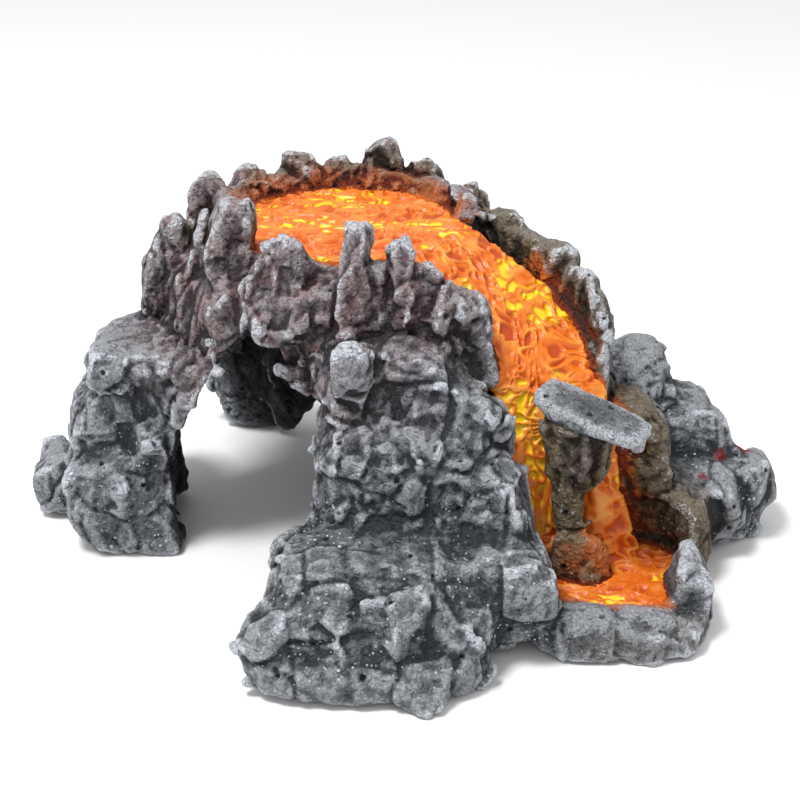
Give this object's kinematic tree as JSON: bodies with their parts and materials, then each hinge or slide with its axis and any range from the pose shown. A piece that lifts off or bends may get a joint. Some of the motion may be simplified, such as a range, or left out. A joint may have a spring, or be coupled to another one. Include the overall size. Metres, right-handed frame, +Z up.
{
  "type": "aquarium cave ornament",
  "caption": "Hollow volcano-shaped resin rock cave for a fish tank, with lava from its crater down a channel to a basin.",
  "frame": {"origin": "on the floor under the middle of the whole ornament", "axes": "+Z up; -Y faces the side with the cave's mouth on the left and the lava on the right; +X to the right"},
  "size_m": [0.2598, 0.2064, 0.1232],
  "materials": {
    "rock_grey": "painted cast resin, matt grey rock with white dry-brushed edges",
    "rock_purple": "painted cast resin, matt grey rock with a purple tint",
    "rock_brown": "painted cast resin, matt brown rock with orange overspray",
    "lava": "painted cast resin, semi-gloss orange and yellow"
  },
  "bodies": {
    "root": {"crater_lava": "lava", "basin_lava": "lava", "chute_lava": "lava", "side_fall_lava": "lava", "cone_shell": "rock_purple", "front_buttress": "rock_grey", "channel_bed": "rock_brown", "left_leg": "rock_grey", "right_bank": "rock_brown", "lower_bank": "rock_brown", "right_outcrop": "rock_grey", "rear_wall": "rock_grey", "basin_bowl": "rock_brown", "bridge_slab": "rock_grey", "bridge_block": "rock_brown", "bridge_pillar": "rock_brown", "basin_boulder": "rock_brown", "bank_tooth": "rock_brown", "basin_front_rim": "rock_grey", "basin_corner_rock": "rock_grey", "outcrop_end_boulder": "rock_grey", "left_foot_boulder": "rock_grey", "perched_rock": "rock_grey", "spire_rear_tall": "rock_purple", "spire_rear_centre": "rock_purple", "spire_rear_left": "rock_purple", "spire_rear_right": "rock_purple", "spire_right_rear": "rock_purple", "spire_left_rear": "rock_purple", "spire_left_low": "rock_purple", "spire_left_outer": "rock_purple", "spire_left_slim": "rock_purple", "spire_left_tall": "rock_purple", "spire_front_left": "rock_purple", "spire_front_forked": "rock_purple", "spire_front_centre": "rock_purple", "spire_front_right": "rock_purple", "spire_front_last": "rock_purple"}
  },
  "joints": []
}
